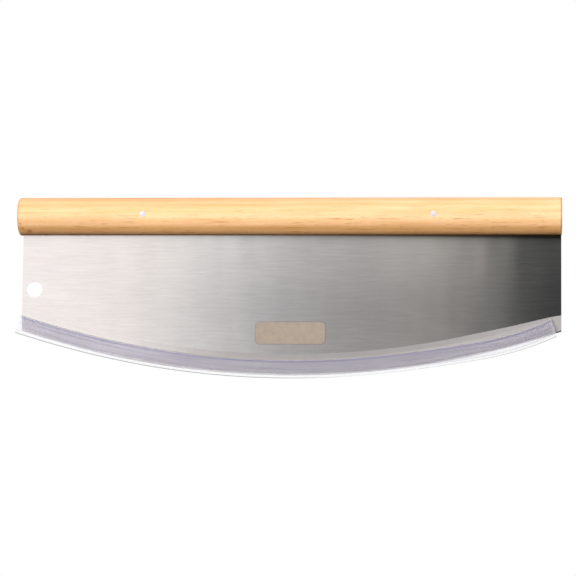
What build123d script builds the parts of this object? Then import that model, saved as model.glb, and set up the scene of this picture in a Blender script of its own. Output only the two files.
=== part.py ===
from build123d import *
import os
from math import asin, cos, degrees, sin, sqrt

# A rocking pizza knife: a long sheet blade with a convex cutting edge, held in a saw cut along the underside
# of a round wooden handle by two pins, with a clear plastic channel pushed over the edge for storage.
# It is modelled as it is held: X runs along the knife, Z points up from the edge to the handle, and -Y faces
# the user. The origin is the middle of the handle, on its axis. All lengths are millimetres.

os.makedirs("parts", exist_ok=True)

# Handle: a straight rod of light hardwood. Its left end is rounded over more than its right.
handle_length = 355.6
handle_diameter = 24.8
handle_left_round = 1.6
handle_right_round = 0.8

# Saw cut for the blade, open at the underside and at both ends of the handle
saw_side_clearance = 0.05
saw_top_clearance = 0.4

# Blade: stainless sheet. It sits a little nearer the right end of the handle than the left.
blade_thickness = 1.2
blade_inset_left = 2.9
blade_inset_right = 0.5
blade_rise = 6.0
edge_depth = 104.0
edge_radius = 555.0

# Grind along the cutting edge: a wide bevel on both faces, then a narrow honed strip, then the edge itself
bevel_width = 13.6
hone_width = 0.9
hone_thickness = 0.36
edge_thickness = 0.08

# Hang hole, measured from the blade's left side and down from the handle's axis
hang_hole_diameter = 10.5
hang_hole_inset = 7.9
hang_hole_drop = 48.3

# Pins: plain steel rod, driven through handle and blade and peened to a low dome at both ends
rivet_diameter = 4.0
rivet_spacing = 189.5
rivet_proud = 0.18
rivet_wood_clearance = 0.02
rivet_blade_clearance = 0.1

# Edge guard: an extruded clear channel. Its lips grip the blade above a slightly wider hollow.
guard_height = 12.0
guard_floor = 1.95
guard_wall = 1.0
guard_hollow_gap = 0.35
guard_lip_gap = 0.12
guard_lip_height = 1.9
guard_lead_in = 0.3
guard_floor_round = 1.1
guard_top_round = 0.45
guard_seat_gap = 0.2

# The guard is flexible, so it lies on the edge only along its middle. Its left end springs out a little,
# the stretch right of the middle bows off the edge and the right end turns back to it. Where the seated run
# starts, from the middle of the blade, and how long the runs are, in shares of the length of the edge
guard_seated_start_share = -0.32
guard_relaxed_run_share = 0.19
guard_seated_run_share = 0.48
guard_bowed_run_share = 0.195
guard_turned_run_share = 0.139

# Radii of the runs that leave the edge, in shares of the radius of the edge
guard_relaxed_radius_share = 1.17
guard_bowed_radius_share = 1.62
guard_turned_radius_share = 0.345

# The right end of the guard is cut a little out of square: how many degrees its floor falls back from its lips
guard_end_lean = 6

# How far a cutting shape runs past what it cuts
cut_overrun = 1.0

# Sizes worked out from those above
handle_radius = handle_diameter / 2
half_thickness = blade_thickness / 2
blade_left = blade_inset_left - handle_length / 2
blade_right = handle_length / 2 - blade_inset_right
blade_middle = (blade_left + blade_right) / 2
half_blade = (blade_right - blade_left) / 2
arc_centre_height = edge_radius - edge_depth
corner_height = arc_centre_height - sqrt(edge_radius**2 - half_blade**2)
edge_length = 2 * edge_radius * asin(half_blade / edge_radius)
rivet_radius = rivet_diameter / 2
rivet_centres = [(-rivet_spacing / 2, 0), (rivet_spacing / 2, 0)]

# Handle
with BuildPart() as handle:
    with BuildSketch(Plane.YZ.offset(-handle_length / 2)):
        Circle(handle_radius)
    extrude(amount=handle_length)
    left_rim, right_rim = handle.edges().filter_by(GeomType.CIRCLE).sort_by(Axis.X)
    fillet(left_rim, handle_left_round)
    fillet(right_rim, handle_right_round)
    # The saw cut runs from below the rod to just above the hidden top of the blade
    cut_top = blade_rise + saw_top_clearance
    cut_bottom = -handle_radius - cut_overrun
    with BuildSketch(Plane.YZ.offset(-handle_length / 2 - cut_overrun)):
        with Locations((0, (cut_top + cut_bottom) / 2)):
            Rectangle(blade_thickness + 2 * saw_side_clearance, cut_top - cut_bottom)
    extrude(amount=handle_length + 2 * cut_overrun, mode=Mode.SUBTRACT)
    with BuildSketch(Plane.XZ):
        with Locations(*rivet_centres):
            Circle(rivet_radius + rivet_wood_clearance)
    extrude(amount=handle_radius + cut_overrun, both=True, mode=Mode.SUBTRACT)
handle.part.label = "handle"
export_step(handle.part, "parts/handle.step")

# Blade
with BuildPart() as blade:
    with BuildSketch(Plane.XZ):
        with BuildLine():
            Polyline(
                (blade_left, corner_height),
                (blade_left, blade_rise),
                (blade_right, blade_rise),
                (blade_right, corner_height),
            )
            ThreePointArc((blade_right, corner_height), (blade_middle, -edge_depth), (blade_left, corner_height))
        make_face()
    extrude(amount=half_thickness, both=True)
    # The grind: on each face a ring about the centre of the edge takes the sheet down to the edge
    middle_plane = Plane(origin=(blade_middle, 0, 0), x_dir=(0, 1, 0), z_dir=(1, 0, 0))
    for side in (1, -1):
        with BuildSketch(middle_plane):
            with BuildLine():
                Polyline(
                    (side * half_thickness, bevel_width - edge_depth),
                    (side * hone_thickness / 2, hone_width - edge_depth),
                    (side * edge_thickness / 2, -edge_depth),
                    (side * edge_thickness / 2, -edge_depth - cut_overrun),
                    (side * (half_thickness + cut_overrun), -edge_depth - cut_overrun),
                    (side * (half_thickness + cut_overrun), bevel_width - edge_depth),
                    close=True,
                )
            make_face()
        revolve(axis=Axis((blade_middle, 0, arc_centre_height), (0, 1, 0)), mode=Mode.SUBTRACT)
    # The hang hole, and a hole for each pin in the strip that the saw cut hides
    with BuildSketch(Plane.XZ):
        with Locations((blade_left + hang_hole_inset, -hang_hole_drop)):
            Circle(hang_hole_diameter / 2)
        with Locations(*rivet_centres):
            Circle(rivet_radius + rivet_blade_clearance)
    extrude(amount=half_thickness + cut_overrun, both=True, mode=Mode.SUBTRACT)
blade.part.label = "blade"
export_step(blade.part, "parts/blade.step")

# Pins: the rim of each dome is level with the wood above and below it, and the top stands a little proud
rivet_rim = sqrt(handle_radius**2 - rivet_radius**2)
rivet_tip = handle_radius + rivet_proud
for rivet_name, (rivet_x, rivet_z) in zip(("rivet_left", "rivet_right"), rivet_centres):
    with BuildPart() as rivet:
        with BuildSketch(Plane(origin=(rivet_x, 0, rivet_z), x_dir=(1, 0, 0), z_dir=(0, 0, 1))):
            with BuildLine():
                front_dome = TangentArc((0, -rivet_tip), (rivet_radius, -rivet_rim), tangent=(1, 0))
                back_dome = TangentArc((0, rivet_tip), (rivet_radius, rivet_rim), tangent=(1, 0))
                Line(front_dome @ 1, back_dome @ 1)
                Line(front_dome @ 0, back_dome @ 0)
            make_face()
        revolve(axis=Axis((rivet_x, 0, rivet_z), (0, 1, 0)))
    rivet.part.label = rivet_name
    export_step(rivet.part, f"parts/{rivet_name}.step")

# Edge guard: the inside of its floor follows four arcs, each running smoothly into the next
seat_radius = edge_radius + guard_seat_gap
seat_angle = guard_seated_start_share * edge_length / edge_radius
with BuildPart() as edge_guard:
    with BuildLine(Plane.XZ) as guard_run:
        seated = JernArc(
            (blade_middle + seat_radius * sin(seat_angle), arc_centre_height - seat_radius * cos(seat_angle)),
            (cos(seat_angle), sin(seat_angle)),
            seat_radius,
            degrees(guard_seated_run_share * edge_length / edge_radius),
        )
        bowed_radius = guard_bowed_radius_share * edge_radius
        bowed = JernArc(
            seated @ 1,
            seated % 1,
            bowed_radius,
            degrees(guard_bowed_run_share * edge_length / bowed_radius),
        )
        turned_radius = guard_turned_radius_share * edge_radius
        turned = JernArc(
            bowed @ 1,
            bowed % 1,
            turned_radius,
            degrees(guard_turned_run_share * edge_length / turned_radius),
        )
        relaxed_radius = guard_relaxed_radius_share * edge_radius
        relaxed = JernArc(
            seated @ 0,
            (seated % 0) * -1,
            relaxed_radius,
            -degrees(guard_relaxed_run_share * edge_length / relaxed_radius),
        )
    # The section: a channel with rounded outer corners, a hollow over the floor and two lips at the mouth
    hollow_half = half_thickness + guard_hollow_gap
    outer_half = hollow_half + guard_wall
    guard_cover = guard_height - guard_floor
    hollow_depth = guard_cover - guard_lip_height
    # The lips close on the bevel, which is thinner than the sheet where they touch it
    bevel_share = min(1, (guard_cover - hone_width) / (bevel_width - hone_width))
    mouth_half = (hone_thickness + (blade_thickness - hone_thickness) * bevel_share) / 2 + guard_lip_gap
    with BuildSketch(Plane(origin=relaxed @ 1, x_dir=(0, 1, 0), z_dir=(relaxed % 1) * -1)) as section:
        with Locations((0, guard_cover - guard_height / 2)):
            Rectangle(2 * outer_half, guard_height)
        floor_corners = section.vertices().group_by(Axis.Z)[0]
        top_corners = section.vertices().group_by(Axis.Z)[-1]
        fillet(floor_corners, guard_floor_round)
        fillet(top_corners, guard_top_round)
        with BuildLine():
            Polyline(
                (-hollow_half, 0),
                (hollow_half, 0),
                (hollow_half, hollow_depth),
                (mouth_half, hollow_depth),
                (mouth_half, guard_cover - guard_lead_in),
                (mouth_half + guard_lead_in, guard_cover),
                (-mouth_half - guard_lead_in, guard_cover),
                (-mouth_half, guard_cover - guard_lead_in),
                (-mouth_half, hollow_depth),
                (-hollow_half, hollow_depth),
                close=True,
            )
        make_face(mode=Mode.SUBTRACT)
    sweep(path=guard_run.wires()[0])
    # The leaning cut at the right end goes through the tips of the lips, which are square above the run's end
    end_heading = turned % 1
    lip_end = turned @ 1 + end_heading.rotate(Axis.Y, -90) * guard_cover
    split(bisect_by=Plane(origin=lip_end, z_dir=end_heading.rotate(Axis.Y, guard_end_lean)), keep=Keep.BOTTOM)
edge_guard.part.label = "edge_guard"
export_step(edge_guard.part, "parts/edge_guard.step")
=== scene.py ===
from math import asin, atan2, cos, degrees, pi, radians, sin, sqrt, tan

import bmesh
import bpy
import numpy as np
from mathutils import Matrix, Vector


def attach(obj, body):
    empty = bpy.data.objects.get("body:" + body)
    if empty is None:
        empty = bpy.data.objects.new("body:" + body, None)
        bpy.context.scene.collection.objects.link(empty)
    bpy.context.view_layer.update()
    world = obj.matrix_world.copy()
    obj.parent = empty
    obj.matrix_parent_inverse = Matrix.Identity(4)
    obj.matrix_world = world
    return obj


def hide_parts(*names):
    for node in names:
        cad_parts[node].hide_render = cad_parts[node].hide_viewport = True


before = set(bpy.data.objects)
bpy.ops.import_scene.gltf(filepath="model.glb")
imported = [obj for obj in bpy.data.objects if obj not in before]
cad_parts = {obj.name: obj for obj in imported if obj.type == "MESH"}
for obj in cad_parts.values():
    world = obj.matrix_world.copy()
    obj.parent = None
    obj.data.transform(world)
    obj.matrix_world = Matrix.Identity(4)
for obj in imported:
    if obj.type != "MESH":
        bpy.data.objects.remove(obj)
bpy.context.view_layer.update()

# Handle: one rod of light hardwood, sanded and thinly oiled, with its ends rounded over. A saw cut along the
# underside takes the blade, and a cross hole through rod and saw cut takes each pin.
handle_length = 0.3556
handle_radius = 0.0124
left_round, right_round = 0.0016, 0.0008
saw_half_width = 0.00065
saw_top = 0.0064
pin_places = (-0.09475, 0.09475)
pin_hole_radius = 0.00202
pin_window = 0.0032
pin_window_cells = 20
pin_block_cells = 12


def run(*legs):
    """Steps along a line: each leg is (start, stop, number of steps), and a leg starts where the last one stopped."""
    parts = [np.linspace(a, b, n + 1)[:-1] for a, b, n in legs]
    return np.concatenate([*parts, [legs[-1][1]]])


def around_hole(x, z, centre, radius, window, block):
    """Opens a square grid round a hole. At a distance m from the centre, measured as the larger of the two offsets,
    a point goes to the circle where m is the block's half side, stays where m is the window's half side, and in
    between lies in proportion on the line from the one to the other."""
    u, v = x - centre[0], z - centre[1]
    m = np.maximum(np.abs(u), np.abs(v))
    share = np.clip((m - block) / (window - block), 0, 1)
    turn = np.arctan2(v, u)
    near = m < window
    new_x = centre[0] + (1 - share) * radius * np.cos(turn) + share * u
    new_z = centre[1] + (1 - share) * radius * np.sin(turn) + share * v
    return np.where(near, new_x, x), np.where(near, new_z, z)


def rim(rows, columns):
    """The index pairs round the edge of a block of a grid: along its first column, up its last row and back."""
    first, last = columns[0], columns[-1]
    low, high = rows[0], rows[-1]
    i = np.concatenate([rows[:-1], np.full(len(columns) - 1, high), rows[:0:-1], np.full(len(columns) - 1, low)])
    j = np.concatenate([np.full(len(rows) - 1, first), columns[:-1], np.full(len(rows) - 1, last), columns[:0:-1]])
    return i, j


def piece(name, points, faces, node, body, materials, smooth_under=30.0, face_material=None, uv=None):
    """A mesh from an array of points and a list of face arrays, welded where points coincide, that rides on a body
    and stands for its solid. Edges that turn by more than smooth_under degrees stay sharp."""
    corners = np.concatenate([block.ravel() for block in faces])
    sizes = np.concatenate([np.full(len(block), block.shape[1]) for block in faces])
    used, corners = np.unique(corners, return_inverse=True)
    mesh = bpy.data.meshes.new(name)
    mesh.vertices.add(len(used))
    mesh.vertices.foreach_set("co", points[used].astype(np.float32).ravel())
    mesh.loops.add(len(corners))
    mesh.loops.foreach_set("vertex_index", corners.astype(np.int32).ravel())
    mesh.polygons.add(len(sizes))
    mesh.polygons.foreach_set("loop_start", (np.cumsum(sizes) - sizes).astype(np.int32))
    mesh.update(calc_edges=True)
    if uv is not None:
        layer = mesh.uv_layers.new(name="along_and_across")
        layer.data.foreach_set("uv", np.concatenate(uv).astype(np.float32).ravel())
    if face_material is not None:
        mesh.polygons.foreach_set("material_index", face_material.astype(np.int32))
    work = bmesh.new()
    work.from_mesh(mesh)
    bmesh.ops.remove_doubles(work, verts=work.verts, dist=1e-7)
    work.to_mesh(mesh)
    work.free()
    for material in materials:
        mesh.materials.append(material)
    mesh.polygons.foreach_set("use_smooth", np.ones(len(mesh.polygons), bool))
    mesh.set_sharp_from_angle(angle=radians(smooth_under))
    made = bpy.data.objects.new(name, mesh)
    bpy.context.scene.collection.objects.link(made)
    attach(made, body)
    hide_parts(node)
    return made


# The ring of points round the rod: up the front, over the top, down the back, then up one side of the saw cut,
# across its top and down its other side. Level with the pins its steps are those of the window round each hole.
below_pin_steps, over_top_steps = 36, 75
saw_below_pin_steps, saw_above_pin_steps = 5, 3
saw_mouth = -sqrt(handle_radius**2 - saw_half_width**2)
mouth_turn = degrees(atan2(-saw_mouth, saw_half_width))
window_z = np.linspace(-pin_window, pin_window, pin_window_cells + 1)
window_turn = np.degrees(np.arcsin(window_z / handle_radius))
window_edge = window_turn[-1]
turn = np.concatenate([
    np.linspace(-mouth_turn, -window_edge, below_pin_steps, endpoint=False),
    window_turn[:-1],
    np.linspace(window_edge, 180 - window_edge, over_top_steps, endpoint=False),
    180 + window_turn[:-1],
    np.linspace(180 + window_edge, 180 + mouth_turn, below_pin_steps + 1),
])
saw_z = run(
    (saw_mouth, -pin_window, saw_below_pin_steps),
    (-pin_window, pin_window, pin_window_cells),
    (pin_window, saw_top, saw_above_pin_steps),
)[1:]
saw_share = (saw_z - saw_mouth) / (saw_top - saw_mouth)
outer_count = len(turn)
saw_count = len(saw_z)

# Where the rings stand along the rod, and how far each is drawn in by the rounded ends
end_round_steps, end_to_pin_steps, between_pins_steps = 8, 8, 18
end_turn = np.radians(np.linspace(0, 90, end_round_steps + 1))
from_end = 1 - np.cos(end_turn)
drawn_in = 1 - np.sin(end_turn)
body_x = run(
    (left_round - handle_length / 2, pin_places[0] - pin_window, end_to_pin_steps),
    (pin_places[0] - pin_window, pin_places[0] + pin_window, pin_window_cells),
    (pin_places[0] + pin_window, pin_places[1] - pin_window, between_pins_steps),
    (pin_places[1] - pin_window, pin_places[1] + pin_window, pin_window_cells),
    (pin_places[1] + pin_window, handle_length / 2 - right_round, end_to_pin_steps),
)
ring_x = np.concatenate([
    left_round * from_end[:-1] - handle_length / 2, body_x, handle_length / 2 - right_round * from_end[-2::-1],
])
inset = np.concatenate([left_round * drawn_in[:-1], np.zeros(len(body_x)), right_round * drawn_in[-2::-1]])[:, None]

drawn_radius = handle_radius - inset
drawn_mouth = -np.sqrt(drawn_radius**2 - saw_half_width**2)
outer_z = drawn_radius * np.sin(np.radians(turn))
wall_z = drawn_mouth + (saw_top - drawn_mouth) * saw_share
loop_x = np.broadcast_to(ring_x[:, None], (len(ring_x), outer_count + 2 * saw_count)).copy()
loop_z = np.concatenate([outer_z, wall_z, wall_z[:, ::-1]], axis=1)
front = np.concatenate([-np.cos(np.radians(turn)), np.ones(saw_count), -np.ones(saw_count)])
for place in pin_places:
    block = pin_window * pin_block_cells / pin_window_cells
    loop_x, loop_z = around_hole(loop_x, loop_z, (place, 0.0), pin_hole_radius, pin_window, block)
# Level with the pins the rod's depth follows from the height of a point, and elsewhere from its turn
depth_at_height = np.sign(front) * np.sqrt(np.maximum(drawn_radius**2 - loop_z**2, 0))
depth_at_turn = drawn_radius * front
rod_y = np.where(np.abs(loop_z) > pin_window, depth_at_turn, depth_at_height)
on_rod = np.arange(loop_x.shape[1]) < outer_count
loop_y = np.where(on_rod, rod_y, np.sign(front) * saw_half_width)
handle_points = np.stack([loop_x, loop_y, loop_z], axis=-1)


def ring_faces(stations, count):
    """Quads between neighbouring rings of a closed loop, as an array by station, place in the loop and corner."""
    i, j = np.meshgrid(np.arange(stations - 1), np.arange(count), indexing="ij")
    k = (j + 1) % count
    return np.stack([i * count + j, (i + 1) * count + j, (i + 1) * count + k, i * count + k], axis=-1)


stations, count = handle_points.shape[:2]
quads = ring_faces(stations, count)
keep = np.ones(quads.shape[:2], bool)
bores = []
margin = (pin_window_cells - pin_block_cells) // 2
front_window = below_pin_steps
back_window = below_pin_steps + pin_window_cells + over_top_steps
rising_wall = outer_count + saw_below_pin_steps - 1
falling_wall = outer_count + saw_count + saw_above_pin_steps
for place in pin_places:
    first = int(np.argmin(np.abs(ring_x - (place - pin_window)))) + margin
    rows = np.arange(first, first + pin_block_cells + 1)
    up = np.arange(margin, margin + pin_block_cells + 1)
    down = pin_window_cells - up
    sides = {}
    for key, columns in (
        ("front rod", front_window + up),
        ("back rod", back_window + down),
        ("back wall", rising_wall + up),
        ("front wall", falling_wall + down),
    ):
        keep[first:first + pin_block_cells, columns.min():columns.max()] = False
        i, j = rim(rows, columns)
        sides[key] = i * count + j
    for a, b in (("front rod", "front wall"), ("back wall", "back rod")):
        a, b = sides[a], sides[b]
        bores.append(np.stack([a, np.roll(a, -1), np.roll(b, -1), b], axis=-1))
left_cap = np.arange(count)[None]
right_cap = (stations - 1) * count + np.arange(count)[::-1][None]


def put(tree, kind, inputs=None, **settings):
    """Adds a shader node. Inputs are values or other nodes' outputs, by the name or number of the socket."""
    made = tree.nodes.new("ShaderNode" + kind)
    for name, value in settings.items():
        setattr(made, name, value)
    for socket, value in (inputs or {}).items():
        if isinstance(value, bpy.types.NodeSocket):
            tree.links.new(value, made.inputs[socket])
        else:
            made.inputs[socket].default_value = value
    return made


def new_material(name):
    """An empty material with its output, its Principled shader and the object coordinates."""
    material = bpy.data.materials.new(name)
    material.use_nodes = True
    tree = material.node_tree
    tree.nodes.clear()
    shader = put(tree, "BsdfPrincipled")
    put(tree, "OutputMaterial", {"Surface": shader.outputs["BSDF"]})
    place = put(tree, "TexCoord").outputs["Object"]
    return material, tree, shader, place


def stretched_noise(tree, place, along, across, detail=3.0, shift=0.0):
    """Noise whose features are about along metres long in X and across metres wide in Y and Z. It runs from 0 to 1
    and is mostly between 0.3 and 0.7."""
    scaled = put(tree, "Mapping", {"Vector": place, "Location": (shift, shift, shift),
                                   "Scale": (1 / along, 1 / across, 1 / across)})
    noise = put(tree, "TexNoise", {"Vector": scaled.outputs["Vector"], "Scale": 1.0, "Detail": detail,
                                   "Roughness": 0.55})
    return noise.outputs["Fac"]


def span(tree, value, low, high, to_low=0.0, to_high=1.0, kind="SMOOTHSTEP"):
    """Value carried from the range low to high onto the range to_low to to_high, and held at its ends."""
    return put(tree, "MapRange", {"Value": value, "From Min": low, "From Max": high, "To Min": to_low,
                                  "To Max": to_high}, interpolation_type=kind).outputs["Result"]


def tint(tree, share, a, b, blend_type="MIX"):
    """Colour a turned into colour b by share, or the two blended as blend_type says."""
    made = put(tree, "Mix", data_type="RGBA", blend_type=blend_type)
    for socket, value in ((0, share), (6, a), (7, b)):
        if isinstance(value, bpy.types.NodeSocket):
            tree.links.new(value, made.inputs[socket])
        else:
            made.inputs[socket].default_value = value
    return made.outputs[2]


def reckon(tree, operation, *values):
    """One sum on numbers or on other nodes' outputs."""
    return put(tree, "Math", dict(enumerate(values)), operation=operation).outputs[0]


def distance_over(tree, across, up):
    """How far off a point is: the square root of the sum of the squares of its two offsets."""
    squares = [reckon(tree, "MULTIPLY", offset, offset) for offset in (across, up)]
    return reckon(tree, "SQRT", reckon(tree, "ADD", *squares))


# Oiled hardwood: growth rings round a heart that lies above and behind the rod, fine fibres, and short dark pores
wood, tree, shader, place = new_material("oiled_hardwood")
pale_wood = (0.84, 0.54, 0.295, 1)
warm_wood = (0.77, 0.42, 0.185, 1)
pore_brown = (0.43, 0.155, 0.05, 1)
knot_brown = (0.38, 0.12, 0.03, 1)
upper_light_tint = (0.99, 0.86, 0.81, 1)
low_shade_tint = (0.93, 0.81, 0.61, 1)
end_grain_and_shade_tint = (0.52, 0.53, 0.56, 1)
cut_shade_brown = (0.13, 0.06, 0.03, 1)
heart_y, heart_z = 0.021, 0.047
ring_pitch, wander_reach, ripple_reach = 0.0046, 0.0035, 0.0006
fibre_length, fibre_width = 0.02, 0.00035
streak_length, streak_width = 0.016, 0.0008
pore_length, pore_width = 0.0042, 0.0003
apart = put(tree, "SeparateXYZ", {"Vector": place})
from_heart = put(tree, "CombineXYZ", {
    "Y": reckon(tree, "SUBTRACT", apart.outputs["Y"], heart_y),
    "Z": reckon(tree, "SUBTRACT", apart.outputs["Z"], heart_z),
})
distance = put(tree, "VectorMath", {0: from_heart.outputs[0]}, operation="LENGTH").outputs["Value"]
wander = span(tree, stretched_noise(tree, place, 0.16, 0.016), 0, 1, -wander_reach, wander_reach, "LINEAR")
ripple = span(tree, stretched_noise(tree, place, 0.03, 0.005, shift=3.1), 0, 1, -ripple_reach, ripple_reach, "LINEAR")
wandered = reckon(tree, "ADD", reckon(tree, "ADD", distance, wander), ripple)
ring = reckon(tree, "SINE", reckon(tree, "MULTIPLY", wandered, 2 * pi / ring_pitch))
late = span(tree, ring, -0.3, 1.0)
patches = stretched_noise(tree, place, 0.05, 0.006, shift=1.7)
warmth = reckon(tree, "ADD", reckon(tree, "MULTIPLY", late, 0.35), span(tree, patches, 0.35, 0.72, 0.0, 0.5))
colour = tint(tree, warmth, pale_wood, warm_wood)
fibres = stretched_noise(tree, place, fibre_length, fibre_width, detail=4.0)
colour = tint(tree, 1.0, colour, span(tree, fibres, 0.3, 0.7, 0.92, 1.05, "LINEAR"), "MULTIPLY")
# Dark streaks and pores, fainter towards the top
lower_down = span(tree, apart.outputs["Z"], -0.004, 0.008, 1.0, 0.3)
streaks = span(tree, stretched_noise(tree, place, streak_length, streak_width, detail=2.0, shift=5.3), 0.6, 0.71)
streaks = reckon(tree, "MULTIPLY", reckon(tree, "MULTIPLY", streaks, lower_down), 0.7)
colour = tint(tree, streaks, colour, pore_brown)
pores = span(tree, stretched_noise(tree, place, pore_length, pore_width, detail=1.0, shift=8.9), 0.63, 0.74)
shown_pores = reckon(tree, "MULTIPLY", reckon(tree, "MULTIPLY", pores, lower_down), 0.5)
colour = tint(tree, shown_pores, colour, pore_brown)
# Three small dark knots low at the left end of the front, drawn out along the grain
on_front = reckon(tree, "LESS_THAN", apart.outputs["Y"], 0.0)
for knot_x, knot_z, knot_size in (
    (-0.16995, -0.0104, 0.0015), (-0.1757, -0.0062, 0.0007), (-0.1741, -0.0088, 0.0006),
):
    off_x = reckon(tree, "MULTIPLY", reckon(tree, "SUBTRACT", apart.outputs["X"], knot_x), 0.55)
    off_z = reckon(tree, "SUBTRACT", apart.outputs["Z"], knot_z)
    knot = span(tree, distance_over(tree, off_x, off_z), 0.1 * knot_size, knot_size, 0.7, 0.0)
    colour = tint(tree, reckon(tree, "MULTIPLY", knot, on_front), colour, knot_brown)
# Painted light, fitted to the photograph: the top is tinted yellower, most of all towards the left, as the light
# falls on it, and a painted sheen makes the middle height paler.
upper_light = reckon(tree, "MULTIPLY", span(tree, apart.outputs["Z"], 0.0015, 0.005),
                  span(tree, apart.outputs["X"], 0.13, -0.13))
colour = tint(tree, upper_light, colour, upper_light_tint, "MULTIPLY")
painted_sheen = reckon(tree, "MULTIPLY", span(tree, apart.outputs["Z"], 0.006, 0.004, 1.0, 1.035),
               span(tree, apart.outputs["Z"], -0.0005, -0.002, 1.0, 1.045))
colour = tint(tree, span(tree, apart.outputs["X"], -0.15, -0.08), colour, painted_sheen, "MULTIPLY")
# Fitted too: painted shade in a deeper band low along the sides, and painted bounce light that makes the underside
# below it paler
low_shade = span(tree, apart.outputs["Z"], -0.0059, -0.0087)
colour = tint(tree, low_shade, colour, low_shade_tint, "MULTIPLY")
colour = tint(tree, 1.0, colour, span(tree, apart.outputs["Z"], -0.0087, -0.0108, 1.0, 1.3), "MULTIPLY")
# The end grain drinks the most and darkens, and the same tint paints shade on the rounded ends, from where the
# rounding starts to just short of the end face
end_grain_and_shade_inset = 0.0004
from_middle = reckon(tree, "ABSOLUTE", apart.outputs["X"])
end_grain_and_shade = span(tree, from_middle, handle_length / 2 - left_round, handle_length / 2 - end_grain_and_shade_inset)
colour = tint(tree, end_grain_and_shade, colour, end_grain_and_shade_tint, "MULTIPLY")
# Painted shade along the saw cut, where the wood meets the blade
cut_shade_height, cut_shade_share = 0.0006, 0.72
cut_shade = span(tree, apart.outputs["Z"], cut_shade_height - handle_radius, -handle_radius, 0.0, cut_shade_share)
colour = tint(tree, cut_shade, colour, cut_shade_brown)
tree.links.new(colour, shader.inputs["Base Color"])
tree.links.new(span(tree, fibres, 0.3, 0.7, 0.5, 0.4, "LINEAR"), shader.inputs["Roughness"])
grain_height = reckon(tree, "SUBTRACT", fibres, reckon(tree, "MULTIPLY", pores, 1.5))
bump = put(tree, "Bump", {"Height": grain_height, "Strength": 0.25, "Distance": 0.00004})
tree.links.new(bump.outputs["Normal"], shader.inputs["Normal"])
shader.inputs["IOR"].default_value = 1.5
shader.inputs["Specular IOR Level"].default_value = 0.25

piece("handle_turned", handle_points.reshape(-1, 3), [quads[keep], *bores, left_cap, right_cap],
      "handle", "knife", [wood])

# Blade: one sheet of stainless steel, cut with a convex edge and ground thin along it on both faces, with a
# narrow honed strip at the edge itself. Its top is pinned in the saw cut, and it hangs by the hole at its left.
blade_left, blade_right, blade_top = -0.1749, 0.1773, 0.006
blade_middle = (blade_left + blade_right) / 2
edge_radius = 0.555
arc_centre_z = edge_radius - 0.104
bevel_width, hone_width = 0.0136, 0.0009
sheet_half, hone_half, edge_half = 0.0006, 0.00018, 0.00004
hang_hole = (-0.167, -0.0483)
hang_hole_radius = 0.00525
hang_window, hang_window_cells, hang_block_cells = 0.0074, 24, 16
pin_clear_radius = 0.0021

# Columns along the knife, close together at the holes
left_columns, middle_columns, right_columns = 30, 90, 40
blade_x = run(
    (blade_left, hang_hole[0] - hang_window, 1),
    (hang_hole[0] - hang_window, hang_hole[0] + hang_window, hang_window_cells),
    (hang_hole[0] + hang_window, pin_places[0] - pin_window, left_columns),
    (pin_places[0] - pin_window, pin_places[0] + pin_window, pin_window_cells),
    (pin_places[0] + pin_window, pin_places[1] - pin_window, middle_columns),
    (pin_places[1] - pin_window, pin_places[1] + pin_window, pin_window_cells),
    (pin_places[1] + pin_window, blade_right, right_columns),
)
# Rows from the top down: level ones past the holes, then ones that lean into the curve of the bevel
last_level = -0.057
top_rows, upper_rows = 2, 12
flat_rows, bevel_rows, hone_rows = 8, 5, 2
level_z = run(
    (blade_top, pin_window, top_rows),
    (pin_window, -pin_window, pin_window_cells),
    (-pin_window, hang_hole[1] + hang_window, upper_rows),
    (hang_hole[1] + hang_window, hang_hole[1] - hang_window, hang_window_cells),
    (hang_hole[1] - hang_window, last_level, 1),
)


def arc_z(radius):
    """Height of a circle of that radius about the centre of the edge, at each column: the centre's height less the
    square root of the radius squared less the offset from the middle squared."""
    return arc_centre_z - np.sqrt(radius**2 - (blade_x - blade_middle)**2)


# The grind runs out a little narrower towards the right end
narrowed_at = (0.122, 0.138, 0.157, 0.169, blade_right)
narrowed_by = (0.0, 0.0006, 0.0015, 0.0023, 0.0035)
narrowed = np.interp(blade_x, narrowed_at, narrowed_by)
width_there = bevel_width - narrowed
bevel_line = arc_z(edge_radius - width_there)
flat_share = np.linspace(0, 1, flat_rows + 1)[1:]
from_edge = np.concatenate([
    np.linspace(1, 0, bevel_rows + 1)[1:, None] * (width_there - hone_width) + hone_width,
    np.linspace(hone_width, 0, hone_rows + 1)[1:, None] * np.ones(len(blade_x)),
])
rows_z = [np.full(len(blade_x), z) for z in level_z]
rows_z += [last_level + (bevel_line - last_level) * s for s in flat_share]
rows_z += [arc_z(edge_radius - w) for w in from_edge]
flat_count = len(level_z) + flat_rows
half_thick = np.concatenate([
    np.full(flat_count, sheet_half),
    np.linspace(sheet_half, hone_half, bevel_rows + 1)[1:],
    np.linspace(hone_half, edge_half, hone_rows + 1)[1:],
])
sheet_z = np.array(rows_z)
sheet_x = np.broadcast_to(blade_x, sheet_z.shape).copy()
before_x, before_z = sheet_x.copy(), sheet_z.copy()
holes = [((place, 0.0), pin_clear_radius, pin_window, pin_window * pin_block_cells / pin_window_cells)
         for place in pin_places]
holes.append((hang_hole, hang_hole_radius, hang_window, hang_window * hang_block_cells / hang_window_cells))
for centre, radius, window, block in holes:
    sheet_x, sheet_z = around_hole(sheet_x, sheet_z, centre, radius, window, block)
row_count, column_count = sheet_z.shape
j, i = np.meshgrid(np.arange(row_count - 1), np.arange(column_count - 1), indexing="ij")
corner = j * column_count + i
front_faces = np.stack([corner, corner + column_count, corner + column_count + 1, corner + 1], axis=-1)
keep = np.ones(front_faces.shape[:2], bool)
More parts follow.
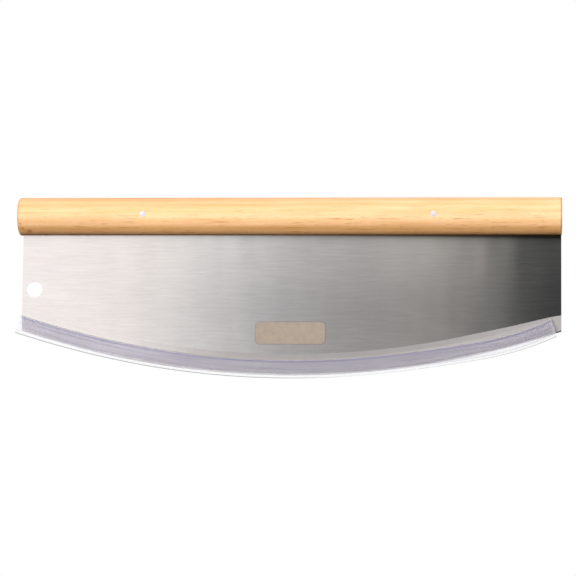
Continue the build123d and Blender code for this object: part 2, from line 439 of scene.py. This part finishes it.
for centre, radius, window, block in holes:
    middle_x = (before_x[:-1, :-1] + before_x[:-1, 1:]) / 2 - centre[0]
    middle_z = (before_z[:-1, :-1] + before_z[1:, :-1]) / 2 - centre[1]
    keep &= np.maximum(np.abs(middle_x), np.abs(middle_z)) > block
row_of_face = np.broadcast_to(np.arange(row_count - 1)[:, None], keep.shape)[keep]
front_faces = front_faces[keep]

# The back is the front turned over, and a wall joins the two along every open edge: outline and holes alike
point_count = row_count * column_count
starts = front_faces.ravel()
ends = np.roll(front_faces, -1, axis=1).ravel()
low, high = np.minimum(starts, ends), np.maximum(starts, ends)
_, first_seen, times = np.unique(low * point_count + high, return_index=True, return_counts=True)
open_edges = first_seen[times == 1]
a, b = starts[open_edges], ends[open_edges]
walls = np.stack([b, a, a + point_count, b + point_count], axis=-1)
back_faces = front_faces[:, ::-1] + point_count
blade_y = np.broadcast_to(half_thick[:, None], sheet_z.shape)
blade_points = np.concatenate([
    np.stack([sheet_x, -blade_y, sheet_z], axis=-1).reshape(-1, 3),
    np.stack([sheet_x, blade_y, sheet_z], axis=-1).reshape(-1, 3),
])

# One finish for the flats and walls, one for the bevel and one for the honed strip. The map runs along the knife
# in U. In V it runs up the flats, and on the bevel straight across it.
finish = np.where(row_of_face < flat_count - 1, 0, np.where(row_of_face < flat_count - 1 + bevel_rows, 1, 2))
face_finish = np.concatenate([finish, finish, np.zeros(len(walls), int)])
across_bevel = np.hypot(blade_points[:, 0] - blade_middle, blade_points[:, 2] - arc_centre_z)
uv = []
for faces, on_bevel in ((front_faces, finish > 0), (back_faces, finish > 0), (walls, np.zeros(len(walls), bool))):
    v = np.where(on_bevel[:, None], -across_bevel[faces], blade_points[faces][..., 2])
    uv.append(np.stack([blade_points[faces][..., 0], v], axis=-1).reshape(-1, 2))


def new_group(name, inputs, outputs):
    """A node group with those named number or vector inputs and number outputs."""
    group = bpy.data.node_groups.new(name, "ShaderNodeTree")
    for label, kind, value in inputs:
        socket = group.interface.new_socket(name=label, in_out="INPUT", socket_type="NodeSocket" + kind)
        if value is not None:
            socket.default_value = value
    for label, kind in outputs:
        group.interface.new_socket(name=label, in_out="OUTPUT", socket_type="NodeSocket" + kind)
    return group, group.nodes.new("NodeGroupInput").outputs, group.nodes.new("NodeGroupOutput").inputs


# Abrasive lines: what a belt or a wheel leaves on steel. They run along the group's X and are of mixed weights.
# The finest are closer than the eye can part, and only tilt the surface to and fro across their run.
lines, given, gives = new_group("abrasive_lines", [
    ("Place", "Vector", None), ("Normal", "Vector", None), ("Across", "Vector", (0, 0, 1)),
    ("Line length", "Float", 0.02), ("Line pitch", "Float", 0.0006), ("Tilt", "Float", 0.0),
], [("Lines", "Float"), ("Clouds", "Float"), ("Normal", "Vector")])


def lengthwise(tree, place, length, pitch, detail=2.0):
    """Noise in features of that length in X and that pitch across it, both given by sockets or numbers."""
    inverse = [reckon(tree, "DIVIDE", 1.0, size) for size in (length, pitch)]
    scale = put(tree, "CombineXYZ", {0: inverse[0], 1: inverse[1], 2: inverse[1]})
    scaled = put(tree, "VectorMath", {0: place, 1: scale.outputs[0]}, operation="MULTIPLY")
    return put(tree, "TexNoise", {"Vector": scaled.outputs[0], "Scale": 1.0, "Detail": detail}).outputs["Fac"]


fine_weight, coarse_weight = 0.6, 0.4
coarse_longer, coarse_wider = 2.0, 2.4
cloud_length, cloud_width = 0.02, 0.014
fine = lengthwise(lines, given["Place"], given["Line length"], given["Line pitch"])
coarse = lengthwise(lines, given["Place"], reckon(lines, "MULTIPLY", given["Line length"], coarse_longer),
                    reckon(lines, "MULTIPLY", given["Line pitch"], coarse_wider))
mixed = reckon(lines, "ADD", reckon(lines, "MULTIPLY", fine, fine_weight),
               reckon(lines, "MULTIPLY", coarse, coarse_weight))
lines.links.new(mixed, gives["Lines"])
lines.links.new(lengthwise(lines, given["Place"], cloud_length, cloud_width), gives["Clouds"])
# Each groove starts at a place of its own along X, so that they don't line up
groove_length, groove_pitch, groove_stagger = 0.003, 0.00004, 40.0
groove_parts = put(lines, "SeparateXYZ", {"Vector": given["Place"]})
staggered = put(lines, "CombineXYZ", {
    "X": reckon(lines, "MULTIPLY_ADD", groove_parts.outputs["Z"], groove_stagger, groove_parts.outputs["X"]),
    "Y": groove_parts.outputs["Y"], "Z": groove_parts.outputs["Z"],
})
groove = lengthwise(lines, staggered.outputs[0], groove_length, groove_pitch, detail=0.0)
groove = reckon(lines, "SUBTRACT", groove, 0.5)
tilt = put(lines, "VectorMath", {0: given["Across"], "Scale": reckon(lines, "MULTIPLY", groove, given["Tilt"])},
           operation="SCALE")
tilted = put(lines, "VectorMath", {0: given["Normal"], 1: tilt.outputs[0]}, operation="ADD")
lines.links.new(put(lines, "VectorMath", {0: tilted.outputs[0]}, operation="NORMALIZE").outputs[0], gives["Normal"])


def steel(name, colour, length, pitch, contrast, roughness, anisotropy, rotation, tilt=0.0, across=False):
    """Stainless steel with abrasive lines along X, or straight across the bevel, that vary its shade and gloss."""
    material, tree, shader, place = new_material(name)
    if across:
        uv_map = put(tree, "UVMap", uv_map="along_and_across")
        parts = put(tree, "SeparateXYZ", {"Vector": uv_map.outputs[0]})
        place = put(tree, "CombineXYZ", {0: parts.outputs["Y"], 1: parts.outputs["X"]}).outputs[0]
    marks = put(tree, "Group", node_tree=lines)
    tree.links.new(place, marks.inputs["Place"])
    tree.links.new(put(tree, "NewGeometry").outputs["Normal"], marks.inputs["Normal"])
    marks.inputs["Line length"].default_value = length
    marks.inputs["Line pitch"].default_value = pitch
    marks.inputs["Tilt"].default_value = tilt
    shade = span(tree, marks.outputs["Lines"], 0.35, 0.65, 1 - contrast, 1 + contrast, "LINEAR")
    cloud = span(tree, marks.outputs["Clouds"], 0.3, 0.7, 0.98, 1.02, "LINEAR")
    colour = tint(tree, 1.0, colour, reckon(tree, "MULTIPLY", shade, cloud), "MULTIPLY")
    gloss = span(tree, marks.outputs["Lines"], 0.3, 0.7, 0.93 * roughness, 1.07 * roughness, "LINEAR")
    tangent = put(tree, "Tangent", direction_type="UV_MAP", uv_map="along_and_across")
    tree.links.new(tangent.outputs[0], shader.inputs["Tangent"])
    shader.inputs["Metallic"].default_value = 1.0
    shader.inputs["Anisotropic"].default_value = anisotropy
    shader.inputs["Anisotropic Rotation"].default_value = rotation
    # Sheet is never quite flat: these are its waves to a metre along X and across, and their height
    wave_rate, wave_height = (38.0, 9.0, 9.0), 0.00005
    waves = put(tree, "Mapping", {"Vector": place, "Scale": wave_rate})
    wave = put(tree, "TexNoise", {"Vector": waves.outputs[0], "Scale": 1.0, "Detail": 1.0})
    bump = put(tree, "Bump", {"Height": wave.outputs["Fac"], "Strength": 1.0, "Distance": wave_height,
                              "Normal": marks.outputs["Normal"]})
    tree.links.new(bump.outputs["Normal"], shader.inputs["Normal"])
    return material, tree, shader, colour, gloss


brushed, tree, shader, colour, gloss = steel(
    "brushed_steel", (0.80, 0.80, 0.80, 1), length=0.014, pitch=0.0009, contrast=0.04, roughness=0.12,
    anisotropy=1.0, rotation=0.25, tilt=0.5)
# On the front a bare etched panel, matt and tan, with softly rounded corners
panel_middle_x, panel_middle_z = 0.00176, -0.0766
panel_half_x, panel_half_z, panel_corner = 0.02262, 0.0072, 0.0026
panel_colour, rim_line_and_shade_colour = (0.35, 0.29, 0.235, 1), (0.1, 0.085, 0.07, 1)
panel_roughness, panel_mattness = 0.55, 0.85
rim_softness, rim_line_and_shade_half, rim_line_and_shade_reach, rim_line_and_shade_share = 0.0001, 0.0002, 0.0006, 0.22
place = put(tree, "TexCoord").outputs["Object"]
apart = put(tree, "SeparateXYZ", {"Vector": place})
offset_x = reckon(tree, "ABSOLUTE", reckon(tree, "SUBTRACT", apart.outputs["X"], panel_middle_x))
offset_z = reckon(tree, "ABSOLUTE", reckon(tree, "SUBTRACT", apart.outputs["Z"], panel_middle_z))
corner_x = reckon(tree, "MAXIMUM", reckon(tree, "SUBTRACT", offset_x, panel_half_x - panel_corner), 0.0)
corner_z = reckon(tree, "MAXIMUM", reckon(tree, "SUBTRACT", offset_z, panel_half_z - panel_corner), 0.0)
outside = reckon(tree, "SUBTRACT", distance_over(tree, corner_x, corner_z), panel_corner)
on_front = reckon(tree, "LESS_THAN", apart.outputs["Y"], 0.0)
etched = reckon(tree, "MULTIPLY", span(tree, outside, -rim_softness, rim_softness, 1.0, 0.0), on_front)
from_rim = reckon(tree, "ABSOLUTE", reckon(tree, "SUBTRACT", outside, rim_softness))
# A dark line round the panel's rim: inside it is the etch's edge, and outside it is painted shade of the etched step
rim_line_and_shade = reckon(tree, "MULTIPLY", span(tree, from_rim, rim_line_and_shade_half, rim_line_and_shade_reach, rim_line_and_shade_share, 0.0), on_front)
mottle = put(tree, "TexNoise", {"Vector": place, "Scale": 260.0, "Detail": 5.0, "Roughness": 0.7}).outputs["Fac"]
panel_paint = tint(tree, 1.0, panel_colour, span(tree, mottle, 0.3, 0.7, 0.9, 1.1, "LINEAR"), "MULTIPLY")
# Painted shade and reflection: a duller tone painted by place, fitted to shading that slants across the sheet in the
# photograph. It grows towards the edge, except at the left, and is deepest right of the middle.
slant_shade_tint, deepest_slant_shade_tint = (0.80, 0.805, 0.81, 1), (0.73, 0.735, 0.74, 1)
used = reckon(tree, "MULTIPLY", span(tree, apart.outputs["Z"], -0.02, -0.065),
              span(tree, apart.outputs["X"], -0.145, 0.0))
deepest_slant_shade = reckon(tree, "MULTIPLY", span(tree, apart.outputs["X"], 0.01, 0.08),
                   span(tree, apart.outputs["X"], 0.14, 0.105))
slant_shade_colour = tint(tree, deepest_slant_shade, slant_shade_tint, deepest_slant_shade_tint)
colour = tint(tree, used, colour, tint(tree, 1.0, colour, slant_shade_colour, "MULTIPLY"))
# A painted shadow where the steel enters the wood: a dark line, heavier to the right and fading evenly with the
# depth below, that stands for the handle's shadow and its dark reflection in the steel.
contact_shade_depth, contact_shade_growth, contact_shade_share, contact_shade_most = 0.0018, 0.15, 0.68, 0.93
contact_shade_colour = (0.095, 0.07, 0.052, 1)
depth = reckon(tree, "SUBTRACT", -handle_radius, apart.outputs["Z"])
rightward = reckon(tree, "MULTIPLY", apart.outputs["X"], 1 / contact_shade_growth)
contact_shade = reckon(tree, "EXPONENT", reckon(tree, "MULTIPLY_ADD", depth, -1 / contact_shade_depth, rightward))
contact_shade = reckon(tree, "MINIMUM", reckon(tree, "MULTIPLY", contact_shade, contact_shade_share), contact_shade_most)
colour = tint(tree, contact_shade, colour, contact_shade_colour)
colour = tint(tree, rim_line_and_shade, tint(tree, etched, colour, panel_paint), rim_line_and_shade_colour)
tree.links.new(colour, shader.inputs["Base Color"])
matt_panel = reckon(tree, "MULTIPLY", etched, panel_roughness)
tree.links.new(reckon(tree, "MAXIMUM", gloss, matt_panel), shader.inputs["Roughness"])
bare_metal = reckon(tree, "SUBTRACT", 1.0, reckon(tree, "MULTIPLY", etched, panel_mattness))
tree.links.new(bare_metal, shader.inputs["Metallic"])

ground, tree, shader, colour, gloss = steel(
    "ground_bevel_steel", (0.655, 0.635, 0.625, 1), length=0.006, pitch=0.0007, contrast=0.03, roughness=0.2,
    anisotropy=0.6, rotation=0.0, across=True)
# Real steel is fully metallic. This value, like the pins', is lower to fit the tone.
shader.inputs["Metallic"].default_value = 0.55
# Painted shade: the bevel is darker along its middle, and most of all this far above the edge.
near_flats, near_flats_full, bevel_shade_share = 0.0095, 0.0105, 0.38
along_x = put(tree, "SeparateXYZ", {"Vector": put(tree, "TexCoord").outputs["Object"]}).outputs["X"]
across = put(tree, "SeparateXYZ", {"Vector": put(tree, "UVMap", uv_map="along_and_across").outputs[0]}).outputs["Y"]
bevel_shade = reckon(tree, "MULTIPLY", span(tree, along_x, -0.12, -0.02), span(tree, along_x, 0.03, 0.17, 1.0, 0.4))
upper = span(tree, across, near_flats - edge_radius, near_flats_full - edge_radius, 0.5, 1.0)
bevel_shade = reckon(tree, "MULTIPLY", reckon(tree, "MULTIPLY", bevel_shade, upper), bevel_shade_share)
colour = tint(tree, bevel_shade, colour, (0, 0, 0, 1))
# Painted light: the bevel is a little lighter towards the left
colour = tint(tree, 1.0, colour, span(tree, along_x, -0.05, -0.12, 1.0, 1.06), "MULTIPLY")
tree.links.new(colour, shader.inputs["Base Color"])
tree.links.new(gloss, shader.inputs["Roughness"])
honed, tree, shader, colour, gloss = steel(
    "honed_edge_steel", (0.72, 0.715, 0.71, 1), length=0.003, pitch=0.0004, contrast=0.02, roughness=0.22,
    anisotropy=0.5, rotation=0.0, across=True)
tree.links.new(colour, shader.inputs["Base Color"])
tree.links.new(gloss, shader.inputs["Roughness"])

piece("blade_ground", blade_points, [front_faces, back_faces, walls], "blade", "knife",
      [brushed, ground, honed], smooth_under=1.0, face_material=face_finish, uv=uv)

# Pins: plain steel rod through handle and blade, peened at both ends to a low dome that stands just proud of
# the wood and fills its cross hole.
pin_radius = 0.002
pin_proud = 0.00018
pin_sides, dome_steps = 64, 12
rim_y = sqrt(handle_radius**2 - pin_radius**2)
dome_rise = handle_radius + pin_proud - rim_y
dome_radius = (pin_radius**2 + dome_rise**2) / (2 * dome_rise)
dome_turn = np.linspace(0, asin(pin_radius / dome_radius), dome_steps + 1)
half_r = dome_radius * np.sin(dome_turn)
half_y = handle_radius + pin_proud - dome_radius * (1 - np.cos(dome_turn))
profile_r = np.concatenate([half_r, half_r[::-1]])
profile_y = np.concatenate([-half_y, half_y[::-1]])

pin_colour = (0.7, 0.7, 0.73, 1)
pin_steel, tree, shader, place = new_material("peened_steel")
marks = put(tree, "Group", node_tree=lines)
tree.links.new(place, marks.inputs["Place"])
marks.inputs["Line length"].default_value = 0.003
marks.inputs["Line pitch"].default_value = 0.0005
shade = span(tree, marks.outputs["Lines"], 0.35, 0.65, 0.94, 1.04, "LINEAR")
tree.links.new(tint(tree, 1.0, pin_colour, shade, "MULTIPLY"), shader.inputs["Base Color"])
tree.links.new(span(tree, marks.outputs["Clouds"], 0.3, 0.7, 0.42, 0.5, "LINEAR"), shader.inputs["Roughness"])
shader.inputs["Metallic"].default_value = 0.3
peening = put(tree, "TexNoise", {"Vector": place, "Scale": 1400.0, "Detail": 1.0})
bump = put(tree, "Bump", {"Height": peening.outputs["Fac"], "Strength": 0.3, "Distance": 0.0001})
tree.links.new(bump.outputs["Normal"], shader.inputs["Normal"])

spin = np.linspace(0, 2 * pi, pin_sides, endpoint=False)
for name, node, place_x in (("pin_left", "rivet_left", pin_places[0]), ("pin_right", "rivet_right", pin_places[1])):
    pin_points = np.stack([
        place_x + profile_r[:, None] * np.cos(spin),
        np.broadcast_to(profile_y[:, None], (len(profile_y), pin_sides)),
        profile_r[:, None] * np.sin(spin),
    ], axis=-1)
    faces = ring_faces(len(profile_r), pin_sides)[..., ::-1].reshape(-1, 4)
    piece(name, pin_points.reshape(-1, 3), [faces], node, "knife", [pin_steel])

# Edge guard: one length of clear extruded channel, pushed over the cutting edge. It has a rounded floor, a hollow
# for the edge and two lips that grip the bevel. It lies on the edge along its middle and springs off at its ends.
guard_height, guard_floor = 0.012, 0.00195
guard_hollow_half, guard_outer_half, guard_mouth_half = 0.00095, 0.00195, 0.000601
guard_lip_height, guard_lead_in = 0.0019, 0.0003
guard_floor_round, guard_top_round = 0.0011, 0.00045
guard_end_lean, guard_lean_run = 6.0, 0.004
seat_radius = edge_radius + 0.0002
edge_length = 2 * edge_radius * asin((blade_right - blade_left) / 2 / edge_radius)
# Four runs from left to right: sprung off, seated, bowed off and turned back, each an arc with a radius of its own
run_steps = (34, 86, 36, 40)
run_lengths = np.array([0.19, 0.48, 0.195, 0.139]) * edge_length
run_radii = np.array([1.17 * edge_radius, seat_radius, 1.62 * edge_radius, 0.345 * edge_radius])
seat_turn = -0.32 * edge_length / edge_radius

# The line of the inner floor: a heading that grows evenly along each arc, added up chord by chord
knots = np.concatenate([[0], np.cumsum(run_lengths)]) - run_lengths[0]
run_turns = run_lengths / run_radii
heading_knots = seat_turn + np.concatenate([[-run_turns[0], 0], np.cumsum(run_turns[1:])])
along = run(*zip(knots[:-1], knots[1:], run_steps))
heading = np.interp(along, knots, heading_knots)
chord_heading = (heading[1:] + heading[:-1]) / 2
half_turn = (heading[1:] - heading[:-1]) / 2
chord = np.diff(along) * np.sinc(half_turn / pi)
line_x = np.concatenate([[0], np.cumsum(chord * np.cos(chord_heading))])
line_z = np.concatenate([[0], np.cumsum(chord * np.sin(chord_heading))])
at_seat = int(np.argmin(np.abs(along)))
line_x += blade_middle + seat_radius * sin(seat_turn) - line_x[at_seat]
line_z += arc_centre_z - seat_radius * cos(seat_turn) - line_z[at_seat]

# The section, from the inner floor at height zero: outside up the back, over both lips and down the front
cover = guard_height - guard_floor
hollow_top = cover - guard_lip_height


def corner_arc(y, z, radius, start, stop, steps):
    """Points round a corner: the centre plus the radius times the cosine and sine of an evenly growing angle."""
    t = np.radians(np.linspace(start, stop, steps + 1))
    return np.stack([y + radius * np.cos(t), z + radius * np.sin(t)], axis=-1)


floor_corner_steps, top_corner_steps = 8, 5
back_half = np.concatenate([
    corner_arc(guard_outer_half - guard_floor_round, guard_floor_round - guard_floor, guard_floor_round, -90, 0,
               floor_corner_steps),
    corner_arc(guard_outer_half - guard_top_round, cover - guard_top_round, guard_top_round, 0, 90,
               top_corner_steps),
    [[guard_mouth_half + guard_lead_in, cover], [guard_mouth_half, cover - guard_lead_in],
     [guard_mouth_half, hollow_top], [guard_hollow_half, hollow_top], [guard_hollow_half, 0.0]],
])
section = np.concatenate([back_half, back_half[::-1] * [-1, 1]])
# Over its last stretch each section leans further, until the floor falls back from the lips by the slope of the cut
lean = np.clip((along - along[-1]) / guard_lean_run + 1, 0, 1)[:, None] * tan(radians(guard_end_lean))
back = lean * (cover - section[:, 1])
sine, cosine = np.sin(heading)[:, None], np.cos(heading)[:, None]
guard_points = np.stack([
    line_x[:, None] - section[:, 1] * sine - back * cosine,
    np.broadcast_to(section[:, 0], (len(along), len(section))),
    line_z[:, None] + section[:, 1] * cosine - back * sine,
], axis=-1)
stations, count = guard_points.shape[:2]
guard_faces = ring_faces(stations, count)
length_round = np.concatenate([[0], np.cumsum(np.hypot(*np.diff(section, axis=0).T))])
closing = length_round[-1] + np.hypot(*(section[0] - section[-1]))
i, j = np.meshgrid(np.arange(stations - 1), np.arange(count), indexing="ij")
next_round = np.append(length_round[1:], closing)
guard_uv = np.stack([
    np.stack([along[i], along[i + 1], along[i + 1], along[i]], axis=-1),
    np.stack([length_round[j], length_round[j], next_round[j], next_round[j]], axis=-1),
], axis=-1)

clear, tree, shader, place = new_material("clear_plastic")
uv_map = put(tree, "UVMap", uv_map="along_and_across")
draw_lines = stretched_noise(tree, uv_map.outputs[0], 0.06, 0.0013, detail=2.0)
# The thick lips are tinted a little darker than the walls, and the dark violet line along their rim is painted
# shade. Round the section from its middle, lips and line are this far, and this wide.
lip_along, lip_reach = 0.0118, 0.0024
rim_along, rim_reach = 0.0128, 0.0005
round_section = put(tree, "SeparateXYZ", {"Vector": uv_map.outputs[0]}).outputs["Y"]
from_floor = reckon(tree, "ABSOLUTE", reckon(tree, "SUBTRACT", round_section, closing / 2))
# The floor is clean: its outside starts this far round, and the lines fade out over this much to either side
floor_along, floor_fade = 0.0222, 0.0006
off_floor = span(tree, from_floor, floor_along + floor_fade, floor_along - floor_fade)
wall_lines = reckon(tree, "MULTIPLY", draw_lines, off_floor)
tree.links.new(span(tree, wall_lines, 0.35, 0.7, 0.1, 0.14, "LINEAR"), shader.inputs["Roughness"])
from_lip = reckon(tree, "ABSOLUTE", reckon(tree, "SUBTRACT", from_floor, lip_along))
from_rim = reckon(tree, "ABSOLUTE", reckon(tree, "SUBTRACT", from_floor, rim_along))
lip = span(tree, from_lip, lip_reach, 0.85 * lip_reach)
lip_rim_shade = span(tree, from_rim, rim_reach, 0.7 * rim_reach)
clean_wall, drawn_wall = (1.0, 1.0, 1.0, 1), (0.84, 0.83, 0.87, 1)
lip_tint, rim_shade_violet = (0.98, 0.98, 1.0, 1), (0.66, 0.67, 0.83, 1)
plastic = tint(tree, span(tree, wall_lines, 0.42, 0.68), clean_wall, drawn_wall)
plastic = tint(tree, lip_rim_shade, tint(tree, lip, plastic, lip_tint), rim_shade_violet)
tree.links.new(plastic, shader.inputs["Base Color"])
shader.inputs["Transmission Weight"].default_value = 1.0
shader.inputs["IOR"].default_value = 1.49
bump = put(tree, "Bump", {"Height": wall_lines, "Strength": 0.15, "Distance": 0.00004})
tree.links.new(bump.outputs["Normal"], shader.inputs["Normal"])

end_caps = [np.arange(count)[None], (stations - 1) * count + np.arange(count)[::-1][None]]
cap_uv = [np.stack([np.full(count, along[k]), length_round], axis=-1) for k in (0, -1)]
piece("edge_guard_clear", guard_points.reshape(-1, 3), [guard_faces.reshape(-1, 4), *end_caps], "edge_guard", "guard",
      [clear], uv=[guard_uv.reshape(-1, 2), cap_uv[0], cap_uv[1][::-1]])

# Studio: a pale floor well below the knife and a soft white surround. A broad light stands to the left in front
# and its like to the right behind, with a dark flag between them, so the steel shades from light to dark.
floor_z = -0.62
floor_reach = 12.0
floor_mesh = bpy.data.meshes.new("floor")
floor_mesh.from_pydata([(x * floor_reach, y * floor_reach, floor_z) for x, y in ((-1, -1), (1, -1), (1, 1), (-1, 1))],
                       [], [(0, 1, 2, 3)])
floor = bpy.data.objects.new("floor", floor_mesh)
bpy.context.scene.collection.objects.link(floor)
floor.visible_diffuse = False
floor.visible_glossy = False
floor_paint = bpy.data.materials.new("pale_floor")
floor_paint.use_nodes = True
floor_mesh.materials.append(floor_paint)
tree = floor_paint.node_tree
floor_shader = tree.nodes["Principled BSDF"]
floor_shader.inputs["Base Color"].default_value = (0.1, 0.1, 0.1, 1)
floor_shader.inputs["Roughness"].default_value = 0.9
floor_shader.inputs["Emission Color"].default_value = (1.0, 1.0, 1.0, 1)
floor_shader.inputs["Emission Strength"].default_value = 0.82
# From below the floor is clear
clear_below = reckon(tree, "SUBTRACT", 1.0, put(tree, "NewGeometry").outputs["Backfacing"])
tree.links.new(clear_below, floor_shader.inputs["Alpha"])

world = bpy.data.worlds.new("studio")
bpy.context.scene.world = world
world.use_nodes = True
tree = world.node_tree
tree.nodes.clear()
toward = put(tree, "TexCoord").outputs["Generated"]
apart = put(tree, "SeparateXYZ", {"Vector": toward})
ratio = reckon(tree, "DIVIDE", apart.outputs["X"], reckon(tree, "MULTIPLY", apart.outputs["Y"], -1.0))
azimuth = reckon(tree, "DEGREES", reckon(tree, "ARCTANGENT", ratio))
elevation = reckon(tree, "DEGREES", reckon(tree, "ARCSINE", apart.outputs["Z"]))
# Shades by azimuth in degrees, from the broad light at the left to the dark flag at the right. They are a fitted
# profile: light worked out from tones measured along the blade in the photograph, then corrected in rounds.
shades = (
    (-12.0, (0.87, 0.80, 0.79)), (-9.0, (0.82, 0.76, 0.74)), (-7.3, (0.74, 0.69, 0.67)),
    (-6.3, (0.645, 0.62, 0.61)), (-5.3, (0.485, 0.47, 0.47)), (-3.5, (0.357, 0.337, 0.335)),
    (-1.4, (0.36, 0.34, 0.32)), (-0.6, (0.21, 0.20, 0.19)), (-0.2, (0.19, 0.185, 0.175)),
    (0.1, (0.11, 0.11, 0.10)), (0.5, (0.05, 0.05, 0.047)), (4.0, (0.026, 0.034, 0.042)),
)
first_angle, last_angle = shades[0][0], shades[-1][0]
ramp = put(tree, "ValToRGB", {"Fac": span(tree, azimuth, first_angle, last_angle, kind="LINEAR")})
bar = ramp.color_ramp
bar.interpolation = "LINEAR"
for angle, shade in shades[1:-1]:
    bar.elements.new((angle - first_angle) / (last_angle - first_angle))
for stop, (angle, shade) in zip(bar.elements, shades):
    stop.color = (*shade, 1)
# Past the flag the surround is light again, and far to the left it dims
light_again, far_side = span(tree, azimuth, 16, 45), (0.71, 0.71, 0.71, 1)
far_left = span(tree, azimuth, -85, -45, 0.35, 1.0)
sides = tint(tree, light_again, ramp.outputs["Color"], far_side)
# Camera, matt, polished and see-through rays each get their own light here. That is fitted, and isn't physical.
path = put(tree, "LightPath")
first_bounce = reckon(tree, "LESS_THAN", path.outputs["Diffuse Depth"], 0.5)
gleam = reckon(tree, "MULTIPLY", path.outputs["Is Glossy Ray"], first_bounce)
# The surround dims towards the top and the bottom, where matt surfaces get less of it than polished ones
surround_strength = 1.4
overhead = span(tree, elevation, 25, 75, 1.0, 0.5)
matt_band = reckon(tree, "MULTIPLY", span(tree, elevation, -30, 5, 0.02, 1.0), overhead)
gleam_band = reckon(tree, "MULTIPLY", span(tree, elevation, -30, 5, 0.4, 1.0), overhead)
band = put(tree, "Mix", {0: gleam, 2: matt_band, 3: gleam_band}).outputs[0]
brightness = reckon(tree, "MULTIPLY", reckon(tree, "MULTIPLY", band, far_left), surround_strength)
surround = tint(tree, 1.0, sides, brightness, "MULTIPLY")
through = path.outputs["Is Transmission Ray"]
off_steel = reckon(tree, "GREATER_THAN", path.outputs["Glossy Depth"], 0.5)
seen = reckon(tree, "MAXIMUM", path.outputs["Is Camera Ray"], through)
light = tint(tree, seen, surround, (1.0, 1.0, 1.0, 1))
# Light for steel seen through the cover, fitted: paler and a little violet towards the left
cover_violet = (1.05, 1.02, 1.19, 1)
paleness = reckon(tree, "MULTIPLY", span(tree, azimuth, -6.5, -0.5, 1.20, 0.97),
                  span(tree, azimuth, -30, -14, 0.55, 1.0))
under_cover = tint(tree, 1.0, cover_violet, paleness, "MULTIPLY")
light = tint(tree, reckon(tree, "MULTIPLY", through, off_steel), light, under_cover)
# A low white card behind the knife lights the underside of the cover, and fades towards the left
behind = reckon(tree, "GREATER_THAN", apart.outputs["Y"], 0.0)
low = span(tree, elevation, -3, 0, 1.0, 0.0)
card = reckon(tree, "MULTIPLY", reckon(tree, "MULTIPLY", behind, low), gleam)
card = reckon(tree, "MULTIPLY", card, span(tree, azimuth, -30, -14))
card_left, card_right = (0.97, 0.98, 1.0, 1), (0.5, 0.5, 0.52, 1)
light = tint(tree, card, light, tint(tree, span(tree, azimuth, -1, 9), card_left, card_right))
sky = put(tree, "Background", {"Color": light, "Strength": 1.0})
put(tree, "OutputWorld", {"Surface": sky.outputs[0]})

# Four round soft lamps, two in front and two behind. They light the wood and aren't mirrored in the steel.
lamp_size, lamp_distance = 0.9, 1.6
for name, azimuth_deg, elevation_deg, power in (
    ("key_front", -45, 12, 28.3), ("key_back", 135, 12, 28.3),
    ("fill_front", 62, 8, 21.0), ("fill_back", 242, 8, 21.0),
):
    lamp = bpy.data.lights.new(name, "AREA")
    lamp.shape, lamp.size, lamp.energy = "DISK", lamp_size, power
    holder = bpy.data.objects.new(name, lamp)
    bpy.context.scene.collection.objects.link(holder)
    a, e = radians(azimuth_deg), radians(elevation_deg)
    away = Vector((sin(a) * cos(e), -cos(a) * cos(e), sin(e)))
    holder.location = away * lamp_distance
    holder.rotation_mode = "QUATERNION"
    holder.rotation_quaternion = away.to_track_quat("Z", "Y")
    holder.visible_camera = False
    holder.visible_transmission = False
    holder.visible_glossy = False

# Camera: a long lens a little to the right and below, tipped by half a degree, as the photograph was taken
camera_azimuth, camera_elevation, camera_roll = radians(4.5), radians(-7.0), radians(0.608)
camera_distance = 1.8
aim = Vector((-0.00008, 0.0, -0.04705))
back = Vector((
    sin(camera_azimuth) * cos(camera_elevation),
    -cos(camera_azimuth) * cos(camera_elevation),
    sin(camera_elevation),
))
level_right = (-back).cross(Vector((0, 0, 1))).normalized()
level_up = level_right.cross(-back)
right = level_right * cos(camera_roll) + level_up * sin(camera_roll)
up = level_up * cos(camera_roll) - level_right * sin(camera_roll)
lens = bpy.data.cameras.new("camera")
lens.sensor_width = 36.0
lens.lens = 172.55
camera = bpy.data.objects.new("camera", lens)
bpy.context.scene.collection.objects.link(camera)
camera.matrix_world = Matrix((
    (right.x, up.x, back.x, aim.x + back.x * camera_distance),
    (right.y, up.y, back.y, aim.y + back.y * camera_distance),
    (right.z, up.z, back.z, aim.z + back.z * camera_distance),
    (0, 0, 0, 1),
))
bpy.context.scene.camera = camera
bpy.context.scene.view_settings.view_transform = "Standard"
